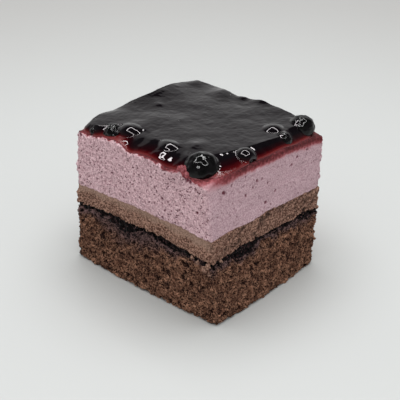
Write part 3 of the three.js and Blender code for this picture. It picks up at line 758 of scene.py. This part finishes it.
def make_mousse():
    """Mousse: pores and grain on the torn sides, long drag lines on the smeared ones, a worn top edge, and a
    stain that the jelly has left below its rim."""
    fields = {}

    def floor(x, y):
        return mousse_foot(x, y) - MOUSSE_OVERLAP

    def roof(x, y):
        return mousse_roof(x, y) + 0.10 * layered(x, y, 0, 1.2, 61, 3)

    def relief(x, y, z, turn):
        torn, dragged = sides(turn, GRAINY), sides(turn, SMEARED)
        wobble = 0.35 * layered(x, y, z, 0.9, 64, 2)
        distance, mark = bubbles(x + wobble, y - wobble, z + wobble, PORES, 63)
        open_share = (TORN_PORES * torn + DRAGGED_PORES * dragged) * (1 + 0.6 * uneven(x, y, z, 4.5, 66))
        radius = 0.14 + 0.22 * mark / np.maximum(open_share, 0.01)
        pore = smooth(radius - distance, 0, 0.14) * (mark < open_share)
        pore = np.maximum(pore, opened(MOUSSE_PORES, x, y + wobble, z - wobble))
        grain = layered(x, y, z, 0.62, 67, 2)
        drag = layered(x / DRAG_LENGTH, y / DRAG_LENGTH, z, 0.9, 69, 3)
        broad = 0.25 * uneven(x, y, z, 5, 10)
        below = mousse_roof(x, y) - z
        worn = 0.25 * smooth(-below, -1.0, 0.0) + 0.35 * smooth(-below, -0.4, 0.1)
        reach = np.maximum(stain_reach(x, y, z, turn), 0.1)
        # Painted shade in the pores and in the hollows of the grain, for the finish.
        fields["pit"] = np.clip(pore + (0.45 * torn + 0.10) * np.clip(-grain - 0.15, 0, 1), 0, 1)
        from_middle = np.hypot(x - CLEAN_MIDDLE[0], y - CLEAN_MIDDLE[1])
        cleaner = smooth(from_middle, 6.0, 11.0) * near(FRONT_CORNER, x, y, 8.0)
        fields["stain"] = (1.0 - 0.75 * cleaner) * (1 - smooth(below, -0.3, reach))
        fields["torn"] = torn
        rough = broad + (0.20 * torn + 0.03) * grain + 0.07 * dragged * drag + 0.6 * crags(x, y, z, 1.6, 71)
        return rough - PORE_DEPTH * pore - worn + 0.15

    rows, nominal = (MOUSSE_ROWS, MOUSSE_TOP), (CREAM_ROOF[0], BROW)
    return layer("mousse_cut", rows, nominal, (floor, roof), relief, fields, mousse_finish())


LUMP_COLUMNS, LUMP_ROWS = 36, 22


def make_lumps(name, which, seed, lumpiness, fields, material):
    """Loose lumps: spheres from pole to pole whose radius is uneven by `lumpiness`, one mesh for them all."""
    turn = np.linspace(0, 2 * np.pi, LUMP_COLUMNS, endpoint=False)
    tilt = np.linspace(-np.pi / 2, np.pi / 2, LUMP_ROWS)
    x, y, z, radius = (np.array(column)[:, None, None] for column in zip(*which))
    flat, rise = np.cos(tilt)[:, None], np.sin(tilt)[:, None]
    unit = [flat * np.cos(turn), flat * np.sin(turn), rise + 0 * turn]
    around = [middle / radius + axis for middle, axis in zip((x, y, z), unit)]
    reach = radius * (1 + lumpiness * layered(*around, 0.9, seed, 3))
    points = place(x + unit[0] * reach, y + unit[1] * reach, z + unit[2] * reach)
    grids = {key: np.full(points.shape[:3], value) for key, value in fields.items()}
    return shell(name, points, grids, material)


# ---- berries and glaze ----

BERRY_NODES = sorted(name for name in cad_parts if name.startswith("berry_"))
BERRY_FLATNESS = 0.9
BERRY_COLUMNS, BERRY_ROWS = 96, 64


def berry_places():
    """Each berry's middle in the drawing and its radii, from its CAD box."""
    places = []
    for node in BERRY_NODES:
        middle, size = box_mm(node)
        middle = middle - np.array([*SHIFT, 0])
        radius = (size[0] + size[1]) / 4
        places.append((*middle, radius, radius * BERRY_FLATNESS))
    return places


BERRIES = berry_places()
SUNK_BERRY_NODES = [node for node in BERRY_NODES if "back" in node or "side" in node]

# The bare berries at the jelly's edges: how far above each one's top its surface would lie (below it, where
# negative), and the fillet round it. The others are sunk, and make mounds or domes.
BARE_BERRIES = {
    "berry_front_corner": (-0.3, 1.5),
    "berry_left_tiny": (-0.2, 0.6),
    "berry_left_small": (-0.2, 1.2),
    "berry_right_middle": (-0.2, 1.2),
    "berry_right_corner": (-0.2, 2.2),
}
SUNK_COVER, SUNK_REACH, LEAST_MOUND = 0.15, 4.2, 0.2
CAP_WIDTH = 0.9  # the radius of a bare berry's cap of jelly, over its own
CAP_REACH = 1.6  # (distance / radius)^2 up to which a cap or a dome is filleted into the level

# Domes of jelly over the berries at its edges: x, y, top, radius, how many times longer each is along X, and
# how much the fillet round it grows away from the rim.
DOMES = [
    (-11.3, -20.4, 53.8, 3.7, 1.3, 1.2), (6.2, -20.0, 53.4, 3.4, 1.3, 1.0),
    (26.2, -6.9, 53.6, 3.5, 1.0, 0.0), (21.8, 11.2, 54.1, 4.4, 1.0, 0.8),
]

DOME_FLATNESS = 0.9
LEAST_FILLET = 0.2
FILLET_GROWS = (3.5, 7.5)  # how far from the rim it begins to grow, and is full

# How uneven a berry is, and how deep its skin's wrinkles are, most and the deeper ones, over its radius.
BERRY_LUMPINESS = 0.030
PLAIN_WRINKLE = 0.022
BERRY_WRINKLE = {
    "berry_front_corner": 0.045,
    "berry_left_tiny": 0.10,
    "berry_left_small": 0.10,
    "berry_right_middle": 0.06,
    "berry_right_corner": 0.06,
}


def make_berry(node, berry, seed):
    """A berry: a flattened sphere from pole to pole, with two sizes of unevenness in its radius."""
    middle_x, middle_y, middle_z, radius, half_height = berry
    turn = np.linspace(0, 2 * np.pi, BERRY_COLUMNS, endpoint=False)[None, :]
    tilt = np.linspace(-np.pi / 2, np.pi / 2, BERRY_ROWS)[:, None]
    unit = np.stack([np.cos(tilt) * np.cos(turn), np.cos(tilt) * np.sin(turn), np.sin(tilt) + 0 * turn])
    wrinkle = BERRY_WRINKLE.get(node, PLAIN_WRINKLE)
    lumps = BERRY_LUMPINESS * uneven(*unit, 0.9, seed)
    x, y, z = unit * (1 + lumps + wrinkle * layered(*unit, 0.42, seed + 50, 2))
    points = place(middle_x + radius * x, middle_y + radius * y, middle_z + half_height * z)
    return shell(node + "_skin", points, {}, BERRY_SKIN)


def soft_max(low, high, width):
    """The larger of two heights, filleted: plus (width - gap)^2 / (4 width) where they are closer than the
    width."""
    gap = np.maximum(width - np.abs(low - high), 0)
    return np.maximum(low, high) + gap * gap / (4 * width)


def soft_min(low, high, width):
    """The smaller of two heights, filleted in the same way."""
    return -soft_max(-low, -high, width)


def round_cap(out):
    """The height of a unit sphere's upper half where (distance / radius)^2 is `out`, and 0 outside it."""
    return np.sqrt(np.clip(1 - out, 0, 1))


def glaze_top(x, y, from_rim, from_edge):
    """The glaze's top: a rounded bead at the rim and a straight shoulder from the bead up to a level. On it
    lie mounds rise * exp(-distance^2 / reach^2) over the sunk berries, and spherical caps over the bare
    berries and for the domes, each filleted into the level."""
    rim = (GLAZE_RIM + beside(RIM_SWELLS, x, y)) * (1 + RIM_UNEVEN * uneven(x, y, 0, 2.2, 86))
    bead = rim * round_cap((1 - np.clip(from_edge / BEAD_WIDTH, 0, 1)) ** 2)
    width = SHOULDER_WIDTH + beside(SHOULDER_SWELLS, x, y)
    width = width * (1 + SHOULDER_UNEVEN * uneven(x, y, 0, 3.1, 87))
    level = surface(GLAZE_ROOF, x, y) + swells(LEVEL_SWELLS, x, y) + swells(SUNK_BERRIES, x, y)
    level = level + 0.08 * uneven(x, y, 0, 5, 5) + 0.045 * layered(x, y, 0, 2.2, 81, 3)
    low = mousse_roof(x, y) + bead - HOLLOW_FILL * beside(MOUSSE_EDGE, x, y) * smooth(from_edge, 0.0, 2.0)
    step = beside(STEP_SWELLS, x, y)
    share = soft_min(from_rim / width, 1.0, 0.06)
    rough = 0.10 * near(ROUGH_SPOT, x, y, 3.0)
    top = low + (level - step - low) * share + step * smooth(from_rim, width - STEP_WIDTH, width)
    top = top + rough * layered(x, y, 0, 1.6, 84, 2) * smooth(from_rim)
    for node, (berry_x, berry_y, berry_z, radius, half_height) in zip(BERRY_NODES, BERRIES):
        distance = (x - berry_x) ** 2 + (y - berry_y) ** 2
        if node in BARE_BERRIES:
            cover, fillet = BARE_BERRIES[node]
            out = distance / (CAP_WIDTH * radius) ** 2
            cap = np.where(out < 1, berry_z + (half_height + cover) * round_cap(out), -FAR_OFF)
            top = np.where(out < CAP_REACH, soft_max(top, cap, fillet), top)
        elif node in SUNK_BERRY_NODES:
            there = float(surface(GLAZE_ROOF, berry_x, berry_y) + swells(LEVEL_SWELLS, berry_x, berry_y))
            rise = max(berry_z + half_height + SUNK_COVER - there, LEAST_MOUND)
            top = top + rise * np.exp(-distance / SUNK_REACH**2)
    for dome_x, dome_y, dome_top, radius, length, fillet in DOMES:
        out = ((x - dome_x) / (radius * length)) ** 2 + ((y - dome_y) / radius) ** 2
        cap = np.where(out < 1, dome_top - DOME_FLATNESS * radius * (1 - round_cap(out)), -FAR_OFF)
        fillet = LEAST_FILLET + fillet * smooth(from_rim, *FILLET_GROWS)
        top = np.where(out < CAP_REACH, soft_max(top, cap, fillet), top)
    return top


GLAZE_CELLS = 290
EDGE_BUNCHING = 0.16  # how much closer the grid's lines lie at the edge
GLAZE_UNDERSIDE = 0.25  # how far below the mousse's top
HIDDEN_DEPTH = 2.0  # the depth of jelly that the underside's colour takes


def glaze_grid(cells_across):
    """The glaze seen from above: a square grid bent to the slice's outline and denser at its edge, each point
    with its distance from the rim as a rounded square and from the nearest side."""
    even = np.linspace(-1, 1, cells_across + 1)
    spread = even * (1 + EDGE_BUNCHING - EDGE_BUNCHING * even**2)
    a, b = np.meshgrid(spread, spread, indexing="xy")
    corners = corner_points(1.0)
    weights = [(1 - a) * (1 - b), (1 + a) * (1 - b), (1 + a) * (1 + b), (1 - a) * (1 + b)]
    x, y = (sum(w * corner[axis] for w, corner in zip(weights, corners)) / 4 for axis in (0, 1))
    waver = 0.12 * layered(x, y, 0, 1.8, 85, 2)
    inset = GLAZE_INSET + swells(INSET_SWELLS, x, y) - 0.35 * uneven(x, y, 0, 6, 11) + waver
    corner_pull = 0.9 * np.abs(a * b) ** 8
    x = x - np.sign(a) * (np.abs(a) ** 5 * inset + corner_pull)
    y = y - np.sign(b) * (np.abs(b) ** 5 * inset + corner_pull)
    from_edge = np.minimum(HALF[0] * (1 - np.abs(a)), HALF[1] * (1 - np.abs(b)))
    square = 6 + 14 * near(LEFT_CORNER, x, y, 8) + 6 * near(RIGHT_CORNER, x, y, 6)
    from_rim = HALF[1] * (1 - (np.abs(a) ** square + np.abs(b) ** square) ** (1 / square))
    return x, y, from_rim, from_edge


def make_glaze():
    """Glaze: the grid at its height, over rows that close its underside on the mousse."""
    x, y, from_rim, from_edge = glaze_grid(GLAZE_CELLS)
    z = glaze_top(x, y, from_rim, from_edge)
    depth = z - mousse_roof(x, y)
    count = len(x)
    number = np.arange(count * count).reshape(count, count)
    corners = [number[:-1, :-1], number[:-1, 1:], number[1:, 1:], number[1:, :-1]]
    top_faces = np.stack(corners, -1).reshape(-1, 4)
    rim = np.concatenate([number[0, :-1], number[:-1, -1], number[-1, :0:-1], number[:0:-1, 0]])
    rim_x, rim_y = x.ravel()[rim], y.ravel()[rim]
    scales = np.array([0.985, 0.8, 0.4])[:, None]
    under_x, under_y = scales * rim_x, scales * rim_y
    under_z = mousse_roof(under_x, under_y) - GLAZE_UNDERSIDE
    first = count * count
    around = np.arange(len(rim))
    after = (around + 1) % len(rim)
    skirt = np.stack([rim[after], rim[around], first + around, first + after], -1)
    rings = ring_faces(first, len(scales), len(rim))[:, ::-1]
    last = first + (len(scales) - 1) * len(rim)
    middle = first + len(scales) * len(rim)
    fan = np.stack([last + after, last + around, 0 * around + middle], -1)
    points = np.concatenate([
        place(x, y, z).reshape(-1, 3),
        place(under_x, under_y, under_z).reshape(-1, 3),
        place(np.zeros(1), np.zeros(1), under_z[-1:].mean(1)),
    ])
    fields = {"depth": np.concatenate([depth.ravel(), np.full(len(points) - first, HIDDEN_DEPTH)])}
    return make_mesh("glaze_jelly", points, [top_faces, skirt, rings, fan], fields, glaze_finish())


# ---- assembly ----

LAYERS = {
    "sponge": (make_sponge, "sponge"),
    "jam_seam": (make_jam, "jam"),
    "chocolate_cream": (make_cream, "chocolate_cream"),
    "blueberry_mousse": (make_mousse, "mousse"),
    "jelly_glaze": (make_glaze, "glaze"),
}


def assemble(piece, node):
    """A piece rides on the slice and stands for its CAD node."""
    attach(piece, "root")
    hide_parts(node)


made = {}
for node, (make, slot) in LAYERS.items():
    made[node] = make()
    assemble(made[node], node)


def add_loose(name, which, seed, lumpiness, fields, like):
    """Loose lumps in the finish of a layer, riding with the slice."""
    piece = make_lumps(name, which, seed, lumpiness, fields, made[like].data.materials[0])
    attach(piece, "root")


# The lumps get a little painted shade, and the jelly's stain.
torn_red = {"pit": 0.1, "stain": 0.45, "torn": 1.0}
add_loose("mousse_lumps", MOUSSE_LUMPS, 91, 0.4, torn_red, "blueberry_mousse")

flaky = {"pit": 0.0, "coarse": 0.6, "pale": 1.0}
add_loose("cream_flakes", CREAM_FLAKES, 95, 0.6, flaky, "chocolate_cream")

BERRY_SKIN = berry_finish()
for seed, (node, berry) in enumerate(zip(BERRY_NODES, BERRIES)):
    assemble(make_berry(node, berry, seed), node)


# ---- studio ----


FLOOR_HALF = 4.0
# Distances over which a painted contact shadow fades out near the slice, and painted shade sets in far from
# it.
CONTACT_SHADOW_SPAN, FALLOFF_SHADE_SPAN = (0.030, 0.072), (0.09, 0.36)  # over which distances the floor's tone changes


def make_floor():
    """A plain pale floor with a painted contact shadow round the slice, and painted shade that makes it a
    little warmer and darker far from the slice.
    """
    finish = Finish("studio_floor", Roughness=0.45, Specular_IOR_Level=0.3)
    at = finish.node("ShaderNodeTexCoord", {}, [], "Object")
    distance = finish.node("ShaderNodeVectorMath", dict(operation="LENGTH"), [at], "Value")
    # Painted contact shadow: darker close to the slice.
    middle = finish.mix(distance.between(*CONTACT_SHADOW_SPAN), (0.480, 0.488, 0.480), (0.560, 0.574, 0.568))
    # Painted shade: a little warmer and darker far from the slice.
    finish.set(Base_Color=finish.mix(distance.between(*FALLOFF_SHADE_SPAN), middle, (0.455, 0.452, 0.442)))
    points = np.concatenate([EDGE_SIDE * FLOOR_HALF, np.zeros((4, 1))], 1)
    floor = make_mesh("floor", points, [np.array([[0, 1, 2, 3]])], {}, finish.material)


CAMERA_AZIMUTH, CAMERA_ELEVATION = math.radians(44.6), math.radians(28.6)
CAMERA_DISTANCE = 0.340
CAMERA_TARGET = (0.0, -0.1, 23.1)
FOCAL_PIXELS, IMAGE_PIXELS = 1004.0, 400.0


def direction(azimuth, elevation):
    """The unit vector from the slice towards a compass azimuth, 0 being -Y, and an elevation."""
    flat = math.cos(elevation)
    return Vector((math.sin(azimuth) * flat, -math.cos(azimuth) * flat, math.sin(elevation)))


def make_camera():
    """The photograph's view: its angle of view comes from a focal length in pixels."""
    lens = bpy.data.cameras.new("camera")
    lens.sensor_width = 36.0
    lens.lens = lens.sensor_width * FOCAL_PIXELS / IMAGE_PIXELS
    camera = bpy.data.objects.new("camera", lens)
    target = Vector(place(*(np.array(value) for value in CAMERA_TARGET)))
    back = direction(CAMERA_AZIMUTH, CAMERA_ELEVATION)
    camera.location = target + back * CAMERA_DISTANCE
    camera.rotation_euler = back.to_track_quat("Z", "Y").to_euler()
    bpy.context.scene.collection.objects.link(camera)
    bpy.context.scene.camera = camera


EVEN_LIGHT = 0.78
# The pale wall: where it ends, as a height and as a cosine from the view's azimuth, its brightness at the
# floor, and how much less that is at height 1.
WALL_TOP, WALL_SIDE = (0.63, 0.68), (-0.62, -0.42)
WALL_GLOW, WALL_FADE = 0.69, 0.60
ROOM_TOP, ROOM_GLOW, LEAST_GLOW = (0.3, 0.8), 0.14, 0.012


def make_world():
    """Even studio light. Reflections see a pale wall behind the slice, with a hard upper edge, and little of
    the rest of the room."""
    world = bpy.data.worlds.new("studio")
    bpy.context.scene.world = world
    world.use_nodes = True
    tree = world.node_tree
    way = add_node(tree, "ShaderNodeTexCoord", {}, [], "Generated")
    height = add_node(tree, "ShaderNodeSeparateXYZ", {}, [way], "Z")
    towards = direction(CAMERA_AZIMUTH, 0.0)
    dot = dict(operation="DOT_PRODUCT")
    facing = add_node(tree, "ShaderNodeVectorMath", dot, [way, tuple(towards)], "Value")
    below_edge = 1 - height.between(*WALL_TOP)
    behind = 1 - facing.between(*WALL_SIDE)
    wall = below_edge * behind * (WALL_GLOW - height * WALL_FADE)
    room = (1 - height.between(*ROOM_TOP)) * ROOM_GLOW + LEAST_GLOW
    is_glossy = add_node(tree, "ShaderNodeLightPath", {}, [], "Is Glossy Ray")
    strength = is_glossy * (wall + room) + (1 - is_glossy) * EVEN_LIGHT
    background = tree.nodes["Background"]
    background.inputs["Color"].default_value = (1.0, 1.0, 0.995, 1)
    tree.links.new(strength.socket, background.inputs["Strength"])


LAMP_SIZE, LAMP_HEIGHT, LAMP_WATTS = 0.7, 0.75, 4.0
STRIP_HALF, STRIP_WIDTH, STRIP_HEIGHT, STRIP_GLOW = np.array([0.27, 0.22]), 0.034, 0.5, 24.0


def make_lamps():
    """A wide soft lamp above, which reflections don't see, and four bright strips round the ceiling, which
    only they do."""
    data = bpy.data.lights.new("ceiling", "AREA")
    data.shape = "DISK"
    data.size = LAMP_SIZE
    data.energy = LAMP_WATTS
    lamp = bpy.data.objects.new("ceiling", data)
    lamp.location = (0, 0, LAMP_HEIGHT)
    lamp.visible_glossy = False
    bpy.context.scene.collection.objects.link(lamp)

    black, white = (0, 0, 0, 1), (1, 1, 1, 1)
    glow = Finish("strip_glow", Emission_Strength=STRIP_GLOW, Emission_Color=white, Base_Color=black)
    flat = np.concatenate([EDGE_SIDE * STRIP_HALF, EDGE_SIDE * (STRIP_HALF - STRIP_WIDTH)])
    points = np.concatenate([flat, np.full((8, 1), STRIP_HEIGHT)], 1)
    here = np.arange(4)
    after = (here + 1) % 4
    faces = np.stack([here, here + 4, after + 4, after], -1)
    strips = make_mesh("ceiling_strips", points, [faces], {}, glow.material)
    strips.visible_diffuse = False
    strips.visible_camera = False
    strips.visible_shadow = False


make_floor()
make_camera()
make_world()
make_lamps()
bpy.context.scene.view_settings.view_transform = "Standard"
